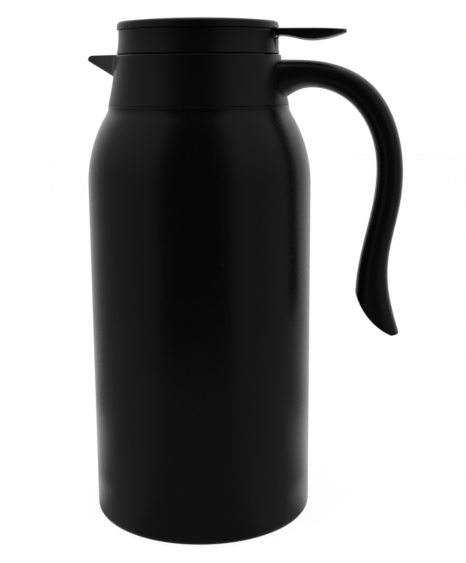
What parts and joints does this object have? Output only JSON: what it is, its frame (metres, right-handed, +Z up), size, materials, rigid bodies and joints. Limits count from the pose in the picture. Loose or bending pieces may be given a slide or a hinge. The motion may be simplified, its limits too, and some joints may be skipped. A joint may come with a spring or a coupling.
{
  "type": "thermal carafe",
  "caption": "Double-wall steel jug with a moulded collar and beak spout, an open S-shaped handle and a screw-in lid whose round flap lifts when its thumb lever is pressed.",
  "frame": {"origin": "centre of the underside of the foot pad, on the table plane", "axes": "+Z up along the jug's axis, +X towards the handle and thumb lever, -X towards the spout"},
  "size_m": [0.1834, 0.13, 0.2942],
  "materials": {
    "powder_coat": "matte black powder coat with a fine grain",
    "raw_steel": "pressed stainless sheet, satin",
    "polished_steel": "electropolished stainless liner",
    "solder_glass": "grey solder glass bead",
    "foil": "bright crinkled foil",
    "getter_metal": "sintered grey",
    "shell_plastic": "moulded black plastic, fine spark texture",
    "inner_plastic": "moulded black plastic, smooth",
    "foam": "cream rigid foam",
    "silicone": "milky silicone",
    "foot_rubber": "black rubber, matte",
    "screw_steel": "bright zinc plated",
    "spring_steel": "drawn spring wire"
  },
  "bodies": {
    "jug": {"outer_shell": "powder_coat", "outer_base": "raw_steel", "base_pad": "foot_rubber", "inner_flask": "polished_steel", "inner_flask_base": "polished_steel", "radiation_foil": "foil", "getter": "getter_metal", "getter_clip": "raw_steel", "vacuum_seal": "solder_glass", "collar": "shell_plastic", "neck_ring": "inner_plastic", "neck_gasket": "silicone", "handle_shell": "shell_plastic", "handle_cover": "shell_plastic", "handle_screws": "screw_steel"},
    "lid_carrier": {"stopper_gasket": "silicone"},
    "lid": {"stopper": "inner_plastic", "stopper_base": "inner_plastic", "stopper_insulation": "foam", "lid_ring": "shell_plastic", "hinge_bracket": "inner_plastic", "hinge_pin": "screw_steel", "torsion_spring": "spring_steel", "lid_screws": "screw_steel"},
    "flap": {"flap_cover": "shell_plastic", "flap_plate": "inner_plastic", "thumb_lever": "shell_plastic", "flap_seal": "silicone", "seal_retainer": "inner_plastic", "flap_screws": "screw_steel"}
  },
  "joints": [
    {"name": "lid_rise", "type": "slide", "parent": "jug", "child": "lid_carrier", "axis": [0, 0, 1], "range_m": [0, 0.04]},
    {"name": "lid_turn", "type": "hinge", "parent": "lid_carrier", "child": "lid", "pos_m": [0, 0, 0.2743], "axis": [0, 0, 1], "range_deg": [0, 600]},
    {"name": "flap_open", "type": "hinge", "parent": "lid", "child": "flap", "pos_m": [0.044, 0, 0.2844], "axis": [0, 1, 0], "range_deg": [0, 24], "stiffness_Nm_per_rad": 0.05, "springref_deg": -34.38}
  ],
  "couplings": [
    {"joint": "lid_rise", "follows": "lid_turn", "m_per_rad": 0.0038197}
  ]
}
